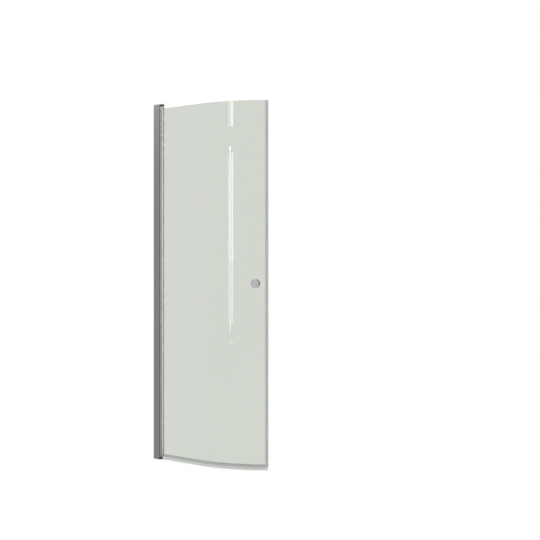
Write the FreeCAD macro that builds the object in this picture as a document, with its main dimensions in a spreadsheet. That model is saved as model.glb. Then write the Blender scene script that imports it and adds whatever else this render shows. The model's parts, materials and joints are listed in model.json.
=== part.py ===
import FreeCAD, Part
import math
import os
import re
import Sketcher

# A curved pivot shower door: the left leaf of a round corner enclosure, on its wall profile.
# Millimetres, +Z up. The origin is on the hinge axis at the height of the shower tray, +X runs
# out from the wall along the straight part of the glass, and +Y points into the shower.

# Driving dimensions.
SIZES = {
    # the enclosure that the leaf is half of
    "total_height": 2000,
    "corner_size": 906.8,
    "curve_radius": 525,
    "sweep_angle": 45,
    # wall channel and jamb
    "wall_distance": 58.8,
    "wall_gap": 2,
    "jamb_lip": 1.5,
    "jamb_wall": 1.8,
    "jamb_round": 0.6,
    "jamb_web": 4.9,
    "adjust_travel": 10,
    "slide_gap": 0.3,
    "channel_wall": 2,
    "channel_back": 2.5,
    "wall_hole_diameter": 6.5,
    "wall_hole_margin": 100,
    "inner_hole_spacing": 600,
    "clamp_margin": 300,
    "port_diameter": 3.4,
    "port_inset": 4.8,
    "port_back_wall": 4,
    # round hinge profile and its glazing arms
    "hinge_diameter": 25,
    "cove_gap": 0.6,
    "swing_gap": 0.6,
    "arm_length": 2.5,
    "arm_wall": 1.4,
    "slot_wall": 1.5,
    "cap_port_diameter": 2.6,
    "bore_wall": 1.3,
    "outer_wall": 1.5,
    "chamber_start_angle": 36,
    "port_clear_angle": 16,
    "cap_screw_angle": 125,
    # pivots
    "bush_diameter": 12,
    "bush_length": 40,
    "pin_diameter": 8,
    "pin_engagement": 38,
    "pin_seat": 12,
    "running_gap": 0.05,
    "fit_gap": 0.05,
    "thrust_gap": 0.3,
    "pin_hole_gap": 0.3,
    "washer_thickness": 1,
    "top_plate": 4,
    "cap_chamfer": 0.8,
    "collar_diameter": 22,
    "collar_height": 9.2,
    "top_boss_diameter": 14,
    "hinge_cap_height": 10.5,
    "foot_plate": 5,
    "foot_boss_diameter": 14,
    "leaf_bottom": 20,
    "bottom_cap_plate": 2,
    "nose_gap": 1,
    "nose_floor_gap": 2,
    # glass and its gaskets
    "glass_thickness": 6,
    "glass_drop": 2,
    "gasket_thickness": 0.8,
    "gasket_bead": 0.8,
    "glass_edge_gap": 1,
    "setting_block_length": 60,
    "setting_block_margin": 127,
    # drip seal under the glass
    "seal_gap": 0.3,
    "carrier_wall": 1.5,
    "carrier_web": 2,
    "carrier_height": 13.5,
    "seal_joint_gap": 0.3,
    "lip_floor_gap": 1.5,
    "lip_base": 1.2,
    "lip_thickness": 1.3,
    "lip_setback": 3.5,
    # magnetic seal on the free edge
    "clip_overlap": 8.5,
    "clip_gap": 0.25,
    "clip_wall": 1.35,
    "clip_web": 1.35,
    "chamber_depth": 8.6,
    "chamber_wall": 1.1,
    "magnet_gap": 0.1,
    "plug_length": 6,
    # knobs
    "knob_height": 997,
    "knob_setback": 70.5,
    "knob_diameter": 46,
    "knob_projection": 25,
    "knob_head": 11,
    "knob_waist": 22,
    "knob_round": 2.5,
    "stud_diameter": 6,
    "stud_grip": 15,
    "sleeve_wall": 2.9,
    "pad_diameter": 28,
    "pad_thickness": 1,
    "pad_gap": 0.2,
    "grub_diameter": 4,
    "grub_length": 6,
    # screws
    "clamp_screw_diameter": 3.9,
    "clamp_screw_length": 9,
    "pan_head_diameter": 7.5,
    "pan_head_height": 2.4,
    "end_screw_length": 16,
    "flat_head_diameter": 6.8,
    "cap_screw_length": 12,
    "cap_head_diameter": 4.8,
    "screw_cap_diameter": 11,
    "screw_cap_wall": 1,
}

doc = FreeCAD.newDocument("pivot_shower_door")
sheet = doc.addObject("Spreadsheet::Sheet", "Sizes")
for row, (size_name, size) in enumerate(SIZES.items(), start=1):
    sheet.set(f"A{row}", size_name)
    sheet.set(f"B{row}", str(size))
    sheet.setAlias(f"B{row}", size_name)
doc.recompute()

# Planes and radii that several pieces share, as formulas of the sheet's sizes.
HALF_JAMB = "(hinge_diameter / 2 + jamb_lip)"
COVE_RADIUS = "(hinge_diameter / 2 + cove_gap)"
SLOT_HALF = "(glass_thickness / 2 + gasket_thickness)"
ARM_HALF = f"({SLOT_HALF} + arm_wall)"
ARM_END = "(hinge_diameter / 2 + arm_length)"
SLOT_START = "(bush_diameter / 2 + slot_wall)"
GLASS_START = f"({SLOT_START} + glass_edge_gap)"
JAMB_BACK = "(wall_gap - wall_distance)"
JAMB_FRONT = f"(-({ARM_HALF} + swing_gap))"
JAMB_WEB = f"(-({COVE_RADIUS} + jamb_web))"
CHANNEL_FRONT = f"({JAMB_WEB} - adjust_travel)"
CHANNEL_HALF = f"({HALF_JAMB} - jamb_wall - slide_gap)"
CLAMP_X = f"(({CHANNEL_FRONT} - wall_distance + channel_back) / 2)"
PORT_X = f"({JAMB_WEB} + port_back_wall)"
PORT_Y = f"({HALF_JAMB} - port_inset)"
ARC_X = "(corner_size - curve_radius - wall_distance)"
PROFILE_TOP = "(total_height - top_plate)"
COLLAR_BOTTOM = f"({PROFILE_TOP} - collar_height)"
HINGE_CAP_TOP = f"({COLLAR_BOTTOM} - thrust_gap)"
LEAF_TOP = f"({HINGE_CAP_TOP} - hinge_cap_height)"
GLASS_TOP = f"({LEAF_TOP} - glass_drop)"
GLASS_MIDDLE = f"((leaf_bottom + {GLASS_TOP}) / 2)"
CARRIER_BOTTOM = "(leaf_bottom - carrier_web)"
CAP_PLATE_BOTTOM = "(leaf_bottom - bottom_cap_plate)"
FOOT_BOSS_TOP = f"({CAP_PLATE_BOTTOM} - thrust_gap - washer_thickness)"
CARRIER_HALF = "(glass_thickness / 2 + seal_gap + carrier_wall)"
SEAL_START = f"({ARM_END} + gasket_bead + seal_joint_gap)"
GLASS_TURN = "(sweep_angle - chamber_depth / curve_radius * 180 / pi)"
CLIP_TURN = "(sweep_angle - (chamber_depth + clip_overlap + seal_joint_gap) / curve_radius * 180 / pi)"
LIP_TURN = "(sweep_angle - lip_setback / curve_radius * 180 / pi)"
KNOB_TURN = "(sweep_angle - knob_setback / curve_radius * 180 / pi)"
KNOB_X = f"({ARC_X} + curve_radius * sin({KNOB_TURN}))"
KNOB_Y = f"(curve_radius - curve_radius * cos({KNOB_TURN}))"
GLASS_END_X = f"({ARC_X} + curve_radius * sin({GLASS_TURN}))"
GLASS_END_Y = f"(curve_radius - curve_radius * cos({GLASS_TURN}))"
KNOB_FACE = "(glass_thickness / 2 + knob_projection)"
KNOB_SEAT = "(glass_thickness / 2 + pad_gap + pad_thickness)"
KNOB_BACK = f"({KNOB_FACE} - knob_head)"
CLIP_HALF = "(glass_thickness / 2 + clip_gap + clip_wall)"
CHAMBER_HALF = f"({CLIP_HALF} - chamber_wall)"
CHAMBER_START = "(clip_gap + clip_web)"
CHAMBER_END = "(chamber_depth - chamber_wall)"
CAP_PORT_RADIUS = "((bush_diameter + hinge_diameter) / 4)"


def formula(text):
    """Point each size named in a formula at its cell in the sheet."""
    return re.sub(r"[a-z_]{3,}", lambda word: f"Sizes.{word[0]}" if word[0] in SIZES else word[0], text)


def value(text):
    return float(sheet.evalExpression(formula(text)))


def new_body(label):
    body = doc.addObject("PartDesign::Body", label)
    body.Label = label
    return body


def new_sketch(body, role="XY_Plane", lift="0"):
    """A sketch on one of the body's own origin planes, lifted off it along the plane's normal."""
    plane = next(item for item in body.Origin.OriginFeatures if item.Role == role)
    sketch = body.newObject("Sketcher::SketchObject", f"{body.Label}_sketch")
    sketch.AttachmentSupport = [(plane, "")]
    sketch.MapMode = "FlatFace"
    sketch.setExpression("AttachmentOffset.Base.z", formula(lift))
    return sketch


def dimension(sketch, kind, elements, text):
    index = sketch.addConstraint(Sketcher.Constraint(kind, *elements, value(text)))
    sketch.setExpression(f"Constraints[{index}]", formula(text))


def place_point(sketch, element, end, x, y):
    dimension(sketch, "DistanceX", (-1, 1, element, end), x)
    dimension(sketch, "DistanceY", (-1, 1, element, end), y)


def join_ends(sketch, pairs):
    for first, first_end, second, second_end in pairs:
        sketch.addConstraint(Sketcher.Constraint("Coincident", first, first_end, second, second_end))


def point(x, y):
    return FreeCAD.Vector(value(x), value(y), 0)


def outline(sketch, corners):
    """A closed outline of straight lines."""
    start = sketch.GeometryCount
    count = len(corners)
    for here, there in zip(corners, corners[1:] + corners[:1]):
        sketch.addGeometry(Part.LineSegment(point(*here), point(*there)), False)
    for i, corner in enumerate(corners):
        join_ends(sketch, [(start + i, 2, start + (i + 1) % count, 1)])
        place_point(sketch, start + i, 1, *corner)


def rectangle(sketch, left, right, low, high):
    outline(sketch, [(left, low), (right, low), (right, high), (left, high)])


def circle(sketch, x, y, diameter):
    shape = Part.Circle(point(x, y), FreeCAD.Vector(0, 0, 1), value(diameter) / 2)
    index = sketch.addGeometry(shape, False)
    place_point(sketch, index, 3, x, y)
    dimension(sketch, "Diameter", (index,), diameter)


def corner_arc(sketch, offset, turn):
    """An arc of the enclosure's round corner, offset inwards, from its straight side by an angle."""
    radius = f"(curve_radius - ({offset}))"
    quarter = math.radians(-90)
    end = quarter + math.radians(value(turn))
    shape = Part.Circle(point(ARC_X, "curve_radius"), FreeCAD.Vector(0, 0, 1), value(radius))
    index = sketch.addGeometry(Part.ArcOfCircle(shape, quarter, end), False)
    place_point(sketch, index, 3, ARC_X, "curve_radius")
    place_point(sketch, index, 1, ARC_X, offset)
    dimension(sketch, "DistanceX", (-1, 1, index, 2), f"{ARC_X} + {radius} * sin({turn})")
    return index


def line(sketch, start, end):
    return sketch.addGeometry(Part.LineSegment(point(*start), point(*end)), False)


def band(sketch, start, outer, inner, turn):
    """The plan of a strip that follows the glass: straight from start, then round by an angle."""

    def arc_end(offset):
        radius = f"(curve_radius - ({offset}))"
        return (f"{ARC_X} + {radius} * sin({turn})", f"curve_radius - {radius} * cos({turn})")

    outer_arc = corner_arc(sketch, outer, turn)
    inner_arc = corner_arc(sketch, inner, turn)
    outer_line = line(sketch, (start, outer), (ARC_X, outer))
    inner_line = line(sketch, (start, inner), (ARC_X, inner))
    start_line = line(sketch, (start, outer), (start, inner))
    end_line = line(sketch, arc_end(outer), arc_end(inner))
    join_ends(
        sketch,
        [
            (outer_line, 2, outer_arc, 1),
            (inner_line, 2, inner_arc, 1),
            (start_line, 1, outer_line, 1),
            (start_line, 2, inner_line, 1),
            (end_line, 1, outer_arc, 2),
            (end_line, 2, inner_arc, 2),
        ],
    )
    place_point(sketch, outer_line, 1, start, outer)
    place_point(sketch, inner_line, 1, start, inner)


def ring_sector(sketch, inner, outer, start, end):
    """A slot about the origin: two arcs and the radial lines that join them."""
    arcs = []
    for radius in (inner, outer):
        round_line = Part.Circle(FreeCAD.Vector(), FreeCAD.Vector(0, 0, 1), value(radius))
        limits = [math.radians(value(angle)) for angle in (start, end)]
        index = sketch.addGeometry(Part.ArcOfCircle(round_line, *limits), False)
        join_ends(sketch, [(index, 3, -1, 1)])
        dimension(sketch, "Radius", (index,), radius)
        for end_number, angle, limit in ((1, start, limits[0]), (2, end, limits[1])):
            steep = abs(math.sin(limit)) > abs(math.cos(limit))
            kind, ratio = ("DistanceX", "cos") if steep else ("DistanceY", "sin")
            dimension(sketch, kind, (-1, 1, index, end_number), f"{radius} * {ratio}({angle})")
        arcs.append(index)
    for end_number, angle in ((1, start), (2, end)):
        corners = [(f"{radius} * cos({angle})", f"{radius} * sin({angle})") for radius in (inner, outer)]
        index = line(sketch, *corners)
        join_ends(sketch, [(index, 1, arcs[0], end_number), (index, 2, arcs[1], end_number)])


def pad(body, sketch, length, reversed_way=False):
    feature = body.newObject("PartDesign::Pad", f"{body.Label}_pad")
    feature.Profile = sketch
    feature.setExpression("Length", formula(length))
    feature.Reversed = reversed_way
    return feature


def cut_through(body, sketch):
    """Cut the sketch through the whole body, to both sides of its plane."""
    feature = body.newObject("PartDesign::Pocket", f"{body.Label}_cut")
    feature.Profile = sketch
    feature.SideType = "Symmetric"
    feature.Type = "ThroughAll"
    return feature


def cut_deep(body, sketch, depth, forward=True):
    """Cut the sketch to a depth, forward along its plane's normal or back."""
    feature = body.newObject("PartDesign::Pocket", f"{body.Label}_recess")
    feature.Profile = sketch
    feature.Reversed = forward
    feature.setExpression("Length", formula(depth))
    return feature


def turn_round(body, sketch, axis):
    feature = body.newObject("PartDesign::Revolution", f"{body.Label}_turned")
    feature.Profile = sketch
    feature.ReferenceAxis = (sketch, [axis])
    feature.Angle = 360
    return feature


def round_edges(body, radius, chosen, kind="Fillet"):
    """Round or chamfer the edges of the body that pass a test."""
    doc.recompute()
    base = body.Tip
    names = [f"Edge{i}" for i, edge in enumerate(base.Shape.Edges, start=1) if chosen(edge)]
    feature = body.newObject(f"PartDesign::{kind}", f"{body.Label}_{kind.lower()}")
    feature.Base = (base, names)
    feature.setExpression("Radius" if kind == "Fillet" else "Size", formula(radius))
    return feature


def set_place(item, x="0", y="0", z="0", turn=None, axis=(0, 0, 1), angle=0):
    """Give a piece its Placement: a place from the sizes, and a turn that is fixed or a formula."""
    turned = value(turn) if turn else angle
    item.Placement = FreeCAD.Placement(FreeCAD.Vector(), FreeCAD.Rotation(FreeCAD.Vector(*axis), turned))
    for name, text in (("x", x), ("y", y), ("z", z)):
        item.setExpression(f"Placement.Base.{name}", formula(text))
    if turn:
        item.setExpression("Placement.Rotation.Angle", formula(turn))


def group(label, members):
    """Identical small pieces, kept as separate solids of one sub-part."""
    compound = doc.addObject("Part::Compound", label)
    compound.Label = label
    compound.Links = members
    return compound


def ring(label, outer, inner, bottom, height, x="0", y="0"):
    """A plain bush, washer or collar on an upright axis."""
    body = new_body(label)
    sketch = new_sketch(body, lift=bottom)
    circle(sketch, x, y, outer)
    circle(sketch, x, y, inner)
    pad(body, sketch, height)
    return body


def screw(label, profile, head_depth, head):
    """A cross-recessed screw on its own Z axis, head upwards, from half of its section."""
    body = new_body(label)
    section = new_sketch(body, "XZ_Plane")
    outline(section, profile)
    turn_round(body, section, "V_Axis")
    for width, length in (("0.16", "0.6"), ("0.6", "0.16")):
        slot = new_sketch(body, lift=head_depth)
        across = f"{head} * {width} / 2"
        along = f"{head} * {length} / 2"
        rectangle(slot, f"-{across}", across, f"-{along}", along)
        cut_deep(body, slot, f"{head} * 0.22", forward=False)
    return body


def flat_head_screw(label, shank, head, length):
    """A countersunk screw whose flat head lies at Z = 0."""
    shank_radius = f"({shank}) / 2"
    head_radius = f"({head}) / 2"
    cone = f"({head} - ({shank})) / 2"
    profile = [
        ("0", "0"),
        (head_radius, "0"),
        (shank_radius, f"-{cone}"),
        (shank_radius, f"-({length})"),
        ("0", f"-({length})"),
    ]
    return screw(label, profile, "0", head)


def pan_head_screw(label, shank, head, height, length):
    """A screw whose cylindrical head stands on Z = 0."""
    shank_radius = f"({shank}) / 2"
    head_radius = f"({head}) / 2"
    profile = [
        ("0", height),
        (head_radius, height),
        (head_radius, "0"),
        (shank_radius, "0"),
        (shank_radius, f"-({length})"),
        ("0", f"-({length})"),
    ]
    return screw(label, profile, height, head)


def countersink(label, x, y, z, head, shank, up):
    """The cone that a flat screw head leaves in a plate whose face is at z."""
    cone = doc.addObject("Part::Cone", label)
    cone.setExpression("Radius1", formula(f"({head}) / 2 + fit_gap"))
    cone.setExpression("Radius2", formula(f"({shank}) / 2 + fit_gap"))
    cone.setExpression("Height", formula(f"({head} - ({shank})) / 2"))
    set_place(cone, x, y, z, axis=(1, 0, 0), angle=0 if up else 180)
    return cone


def cut_away(label, base, tools):
    cut = doc.addObject("Part::Cut", label)
    joined = doc.addObject("Part::MultiFuse", f"{label}_tools")
    joined.Shapes = tools
    cut.Base = base
    cut.Tool = joined
    cut.Label = label
    return cut


def clamp_heights():
    return [f"total_height / 2 + {step} * (total_height / 2 - clamp_margin)" for step in (-1, 0, 1)]


def port_places():
    return [(PORT_X, f"{side} * {PORT_Y}") for side in (-1, 1)]


def cap_port_places():
    return [
        (
            f"{CAP_PORT_RADIUS} * cos(cap_screw_angle)",
            f"{side} * {CAP_PORT_RADIUS} * sin(cap_screw_angle)",
        )
        for side in (-1, 1)
    ]


# Fixed side: wall channel, jamb and pivots.


def wall_channel():
    """The aluminium channel that is screwed to the wall."""
    body = new_body("wall_channel")
    plan = new_sketch(body, lift="foot_plate")
    rectangle(plan, "-wall_distance", CHANNEL_FRONT, f"-{CHANNEL_HALF}", CHANNEL_HALF)
    pad(body, plan, f"{PROFILE_TOP} - foot_plate")
    inside = new_sketch(body)
    inner_half = f"({CHANNEL_HALF} - channel_wall)"
    rectangle(inside, "channel_back - wall_distance", "0", f"-{inner_half}", inner_half)
    cut_through(body, inside)
    wall_holes = new_sketch(body, "YZ_Plane")
    for spacing in ("(total_height - 2 * wall_hole_margin)", "inner_hole_spacing"):
        for side in (-1, 1):
            circle(wall_holes, "0", f"total_height / 2 + {side} * {spacing} / 2", "wall_hole_diameter")
    cut_through(body, wall_holes)
    clamp_holes = new_sketch(body, "XZ_Plane")
    for height in clamp_heights():
        circle(clamp_holes, CLAMP_X, height, "clamp_screw_diameter + 2 * fit_gap")
    cut_deep(body, clamp_holes, "hinge_diameter", forward=False)
    return body


def jamb_profile():
    """The visible aluminium profile: it slides over the channel and its cove holds the hinge."""
    body = new_body("jamb_profile")
    plan = new_sketch(body, lift="foot_plate")
    rectangle(plan, JAMB_BACK, JAMB_FRONT, f"-{HALF_JAMB}", HALF_JAMB)
    pad(body, plan, f"{PROFILE_TOP} - foot_plate")
    half_height = value("total_height") / 2
    round_edges(body, "jamb_round", lambda edge: edge.BoundBox.ZLength > half_height)
    room = new_sketch(body)
    room_half = f"({HALF_JAMB} - jamb_wall)"
    rectangle(room, f"{JAMB_BACK} - jamb_wall", JAMB_WEB, f"-{room_half}", room_half)
    cut_through(body, room)
    cove = new_sketch(body)
    circle(cove, "0", "0", f"2 * {COVE_RADIUS}")
    cut_through(body, cove)
    ports = new_sketch(body)
    for x, y in port_places():
        circle(ports, x, y, "port_diameter")
    cut_through(body, ports)
    groove = new_sketch(body)
    outline(groove, seal_key("fit_gap"))
    cut_through(body, groove)
    clamp_holes = new_sketch(body, "XZ_Plane")
    for height in clamp_heights():
        circle(clamp_holes, CLAMP_X, height, "clamp_screw_diameter + 6 * fit_gap")
    cut_deep(body, clamp_holes, "hinge_diameter", forward=False)
    return body


def seal_key(gap):
    """Half-sunk T-shaped key of the cove seal; the groove is the same key, larger by a gap."""
    bottom = f"({JAMB_WEB} + 0.36 * jamb_web)"
    shoulder = f"({JAMB_WEB} + 0.72 * jamb_web)"
    neck = "(0.24 * jamb_web)"
    head = "(0.44 * jamb_web)"
    tip = f"(-{COVE_RADIUS} + 2 * {gap})"
    return [
        (f"{bottom} - {gap}", f"-({head} + {gap})"),
        (f"{shoulder} + {gap}", f"-({head} + {gap})"),
        (f"{shoulder} + {gap}", f"-({neck} + {gap})"),
        (tip, f"-({neck} + {gap})"),
        (tip, f"{neck} + {gap}"),
        (f"{shoulder} + {gap}", f"{neck} + {gap}"),
        (f"{shoulder} + {gap}", f"{head} + {gap}"),
        (f"{bottom} - {gap}", f"{head} + {gap}"),
    ]


def jamb_seal():
    """The soft strip in the cove that wipes the round hinge profile."""
    body = new_body("jamb_seal")
    plan = new_sketch(body, lift="foot_plate")
    outline(plan, seal_key("0"))
    pad(body, plan, f"{PROFILE_TOP} - foot_plate")
    bead = new_sketch(body, lift="leaf_bottom")
    tip = "-(hinge_diameter / 2 + thrust_gap)"
    rectangle(bead, f"-{COVE_RADIUS}", tip, "-0.2 * jamb_web", "0.2 * jamb_web")
    pad(body, bead, f"{LEAF_TOP} - leaf_bottom")
    return body


def clamp_screws():
    """They hold the jamb on the wall channel, from inside the shower."""
    screws = []
    for i, height in enumerate(clamp_heights(), start=1):
        item = pan_head_screw(
            f"clamp_screw_{i}",
            "clamp_screw_diameter",
            "pan_head_diameter",
            "pan_head_height",
            "clamp_screw_length",
        )
        set_place(item, CLAMP_X, HALF_JAMB, height, axis=(1, 0, 0), angle=-90)
        screws.append(item)
    return group("clamp_screws", screws)


def clamp_screw_caps():
    """Domed covers pressed over the clamp screws' heads."""
    caps = []
    head_room = "(pan_head_diameter / 2 + fit_gap)"
    cap_height = "(pan_head_height + fit_gap + screw_cap_wall)"
    for i, height in enumerate(clamp_heights(), start=1):
        body = new_body(f"clamp_screw_cap_{i}")
        section = new_sketch(body, "XZ_Plane")
        profile = [
            (head_room, "0"),
            ("screw_cap_diameter / 2", "0"),
            ("screw_cap_diameter / 2", "0.4 * pan_head_height"),
            ("0.4 * screw_cap_diameter", cap_height),
            ("0", cap_height),
            ("0", "pan_head_height + fit_gap"),
            (head_room, "pan_head_height + fit_gap"),
        ]
        outline(section, profile)
        turn_round(body, section, "V_Axis")
        set_place(body, CLAMP_X, HALF_JAMB, height, axis=(1, 0, 0), angle=-90)
        caps.append(body)
    return group("clamp_screw_caps", caps)


def end_plate(label, bottom, height, nose):
    """A plate over the jamb's end, with a round nose about the hinge axis."""
    body = new_body(label)
    plan = new_sketch(body, lift=bottom)
    rectangle(plan, JAMB_BACK, JAMB_FRONT, f"-{HALF_JAMB}", HALF_JAMB)
    pad(body, plan, height)
    tongue = new_sketch(body, lift=bottom)
    rectangle(tongue, f"{JAMB_BACK} / 2", "0", f"-({nose})", nose)
    pad(body, tongue, height)
    tip = new_sketch(body, lift=bottom)
    circle(tip, "0", "0", f"2 * ({nose})")
    pad(body, tip, height)
    return body


def top_cap():
    """The cast cap on the jamb; its boss holds the upper pivot pin."""
    body = end_plate("top_cap_body", PROFILE_TOP, "top_plate", HALF_JAMB)
    top = value("total_height") - 0.01
    round_edges(body, "cap_chamfer", lambda edge: edge.BoundBox.ZMin > top, "Chamfer")
    boss = new_sketch(body, lift=COLLAR_BOTTOM)
    circle(boss, "0", "0", "top_boss_diameter")
    pad(body, boss, "collar_height")
    screw_holes = new_sketch(body)
    for x, y in port_places():
        circle(screw_holes, x, y, "port_diameter + 2 * fit_gap")
    cut_through(body, screw_holes)
    pin_hole = new_sketch(body, lift=COLLAR_BOTTOM)
    circle(pin_hole, "0", "0", "pin_diameter + 2 * fit_gap")
    cut_deep(body, pin_hole, "pin_seat")
    sinks = [
        countersink(f"top_sink_{i}", x, y, "total_height", "flat_head_diameter", "port_diameter", False)
        for i, (x, y) in enumerate(port_places(), start=1)
    ]
    return cut_away("top_cap", body, sinks)


def foot_bracket():
    """The dark foot that the jamb stands on; its boss carries the leaf."""
    body = end_plate("foot_bracket_body", "0", "foot_plate", "foot_boss_diameter / 2")
    boss = new_sketch(body)
    circle(boss, "0", "0", "foot_boss_diameter")
    pad(body, boss, FOOT_BOSS_TOP)
    screw_holes = new_sketch(body)
    for x, y in port_places():
        circle(screw_holes, x, y, "port_diameter + 2 * fit_gap")
    cut_through(body, screw_holes)
    pin_hole = new_sketch(body, lift=FOOT_BOSS_TOP)
    circle(pin_hole, "0", "0", "pin_diameter + 2 * fit_gap")
    cut_deep(body, pin_hole, "pin_seat", forward=False)
    sinks = [
        countersink(f"foot_sink_{i}", x, y, "0", "flat_head_diameter", "port_diameter", True)
        for i, (x, y) in enumerate(port_places(), start=1)
    ]
    return cut_away("foot_bracket", body, sinks)


def end_screws(label, z, angle):
    """Two countersunk screws into the jamb's screw ports."""
    screws = []
    for i, (x, y) in enumerate(port_places(), start=1):
        item = flat_head_screw(
            f"{label}_{i}", "port_diameter - 2 * fit_gap", "flat_head_diameter", "end_screw_length"
        )
        set_place(item, x, y, z, axis=(1, 0, 0), angle=angle)
        screws.append(item)
    return group(label, screws)


def pivot_pin(label, bottom, height):
    body = new_body(label)
    sketch = new_sketch(body, lift=bottom)
    circle(sketch, "0", "0", "pin_diameter")
    pad(body, sketch, height)
    round_edges(body, "0.08 * pin_diameter", lambda edge: True, "Chamfer")
    return body


def fixed_pieces():
    upper_pin_bottom = f"({LEAF_TOP} - pin_engagement)"
    lower_pin_bottom = f"({FOOT_BOSS_TOP} - pin_seat)"
    lower_pin_top = "(leaf_bottom + pin_engagement)"
    bore = "pin_diameter + 2 * running_gap"
    return [
        wall_channel(),
        jamb_profile(),
        jamb_seal(),
        clamp_screws(),
        clamp_screw_caps(),
        top_cap(),
        end_screws("top_cap_screws", "total_height", 0),
        ring(
            "upper_pivot_collar",
            "collar_diameter",
            "top_boss_diameter + 2 * fit_gap",
            COLLAR_BOTTOM,
            "collar_height",
        ),
        pivot_pin("upper_pivot_pin", upper_pin_bottom, f"{COLLAR_BOTTOM} + pin_seat - {upper_pin_bottom}"),
        foot_bracket(),
        end_screws("foot_screws", "0", 180),
        pivot_pin("lower_pivot_pin", lower_pin_bottom, f"{lower_pin_top} - {lower_pin_bottom}"),
        ring("thrust_washer", "foot_boss_diameter", bore, FOOT_BOSS_TOP, "washer_thickness"),
    ]


# The leaf: hinge profile, glass, seals and knobs.


def hinge_plan(body, bottom, height):
    """The round hinge profile's outline with its pair of glazing arms, raised to a height."""
    tube = new_sketch(body, lift=bottom)
    circle(tube, "0", "0", "hinge_diameter")
    pad(body, tube, height)
    arms = new_sketch(body, lift=bottom)
    rectangle(arms, "0", ARM_END, f"-{ARM_HALF}", ARM_HALF)
    pad(body, arms, height)


def hinge_profile():
    """The extrusion that turns on the pivots and grips the glass."""
    body = new_body("hinge_profile")
    hinge_plan(body, "leaf_bottom", f"{LEAF_TOP} - leaf_bottom")
    bore = new_sketch(body)
    circle(bore, "0", "0", "bush_diameter + 2 * fit_gap")
    cut_through(body, bore)
    slot = new_sketch(body)
    rectangle(slot, SLOT_START, f"{ARM_END} + arm_length", f"-{SLOT_HALF}", SLOT_HALF)
    cut_through(body, slot)
    ports = new_sketch(body)
    for x, y in cap_port_places():
        circle(ports, x, y, "cap_port_diameter")
    cut_through(body, ports)
    chambers = new_sketch(body)
    inner = "(bush_diameter / 2 + fit_gap + bore_wall)"
    outer = "(hinge_diameter / 2 - outer_wall)"
    before_port = "(cap_screw_angle - port_clear_angle)"
    after_port = "(cap_screw_angle + port_clear_angle)"
    ring_sector(chambers, inner, outer, "chamber_start_angle", before_port)
    ring_sector(chambers, inner, outer, after_port, f"(360 - {after_port})")
    ring_sector(chambers, inner, outer, f"-{before_port}", "-chamber_start_angle")
    cut_through(body, chambers)
    return body


def hinge_top_cap():
    """The pale cap on the hinge profile's top."""
    body = new_body("hinge_top_cap_body")
    hinge_plan(body, LEAF_TOP, "hinge_cap_height")
    pin_hole = new_sketch(body)
    circle(pin_hole, "0", "0", "pin_diameter + 2 * pin_hole_gap")
    cut_through(body, pin_hole)
    screw_holes = new_sketch(body)
    for x, y in cap_port_places():
        circle(screw_holes, x, y, "cap_port_diameter + 2 * fit_gap")
    cut_through(body, screw_holes)
    round_edges(
        body,
        "0.08 * hinge_cap_height",
        lambda edge: edge.BoundBox.ZMin > value(HINGE_CAP_TOP) - 0.01
        and edge.BoundBox.XMax > value("hinge_diameter") * 0.4,
        "Chamfer",
    )
    sinks = [
        countersink(f"cap_sink_{i}", x, y, HINGE_CAP_TOP, "cap_head_diameter", "cap_port_diameter", False)
        for i, (x, y) in enumerate(cap_port_places(), start=1)
    ]
    return cut_away("hinge_top_cap", body, sinks)


def hinge_bottom_cap():
    """The pale cap under the hinge profile; its nose closes the end of the drip seal."""
    body = new_body("hinge_bottom_cap_body")
    hinge_plan(body, CAP_PLATE_BOTTOM, "bottom_cap_plate")
    nose = new_sketch(body, lift="nose_floor_gap")
    nose_start = "(foot_boss_diameter / 2 + nose_gap)"
    rectangle(nose, nose_start, ARM_END, f"-{ARM_HALF}", ARM_HALF)
    pad(body, nose, "leaf_bottom - bottom_cap_plate - nose_floor_gap")
    pin_hole = new_sketch(body)
    circle(pin_hole, "0", "0", "pin_diameter + 2 * pin_hole_gap")
    cut_through(body, pin_hole)
    screw_holes = new_sketch(body)
    for x, y in cap_port_places():
        circle(screw_holes, x, y, "cap_port_diameter + 2 * fit_gap")
    cut_through(body, screw_holes)
    sinks = [
        countersink(
            f"bottom_sink_{i}", x, y, CAP_PLATE_BOTTOM, "cap_head_diameter", "cap_port_diameter", True
        )
        for i, (x, y) in enumerate(cap_port_places(), start=1)
    ]
    return cut_away("hinge_bottom_cap", body, sinks)


def cap_screws(label, z, length, angle):
    screws = []
    for i, (x, y) in enumerate(cap_port_places(), start=1):
        shank = "cap_port_diameter - 2 * fit_gap"
        item = flat_head_screw(f"{label}_{i}", shank, "cap_head_diameter", length)
        set_place(item, x, y, z, axis=(1, 0, 0), angle=angle)
        screws.append(item)
    return group(label, screws)


def curved_glass():
    """The bent toughened pane, with the knob's hole."""
    body = new_body("curved_glass")
    plan = new_sketch(body, lift="leaf_bottom")
    band(plan, GLASS_START, "-glass_thickness / 2", "glass_thickness / 2", GLASS_TURN)
    pad(body, plan, f"{GLASS_TOP} - leaf_bottom")
    hole = new_sketch(body, "XZ_Plane", f"-({KNOB_Y})")
    hole.AttachmentOffset = FreeCAD.Placement(
        FreeCAD.Vector(), FreeCAD.Rotation(FreeCAD.Vector(0, 1, 0), value(KNOB_TURN))
    )
    hole.setExpression("AttachmentOffset.Base.x", formula(KNOB_X))
    hole.setExpression("AttachmentOffset.Base.y", formula("knob_height"))
    hole.setExpression("AttachmentOffset.Rotation.Angle", formula(KNOB_TURN))
    circle(hole, "0", "0", "stud_diameter + 2 * sleeve_wall + 4 * fit_gap")
    feature = body.newObject("PartDesign::Pocket", "curved_glass_hole")
    feature.Profile = hole
    feature.SideType = "Symmetric"
    feature.setExpression("Length", formula("8 * glass_thickness"))
    return body


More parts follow.
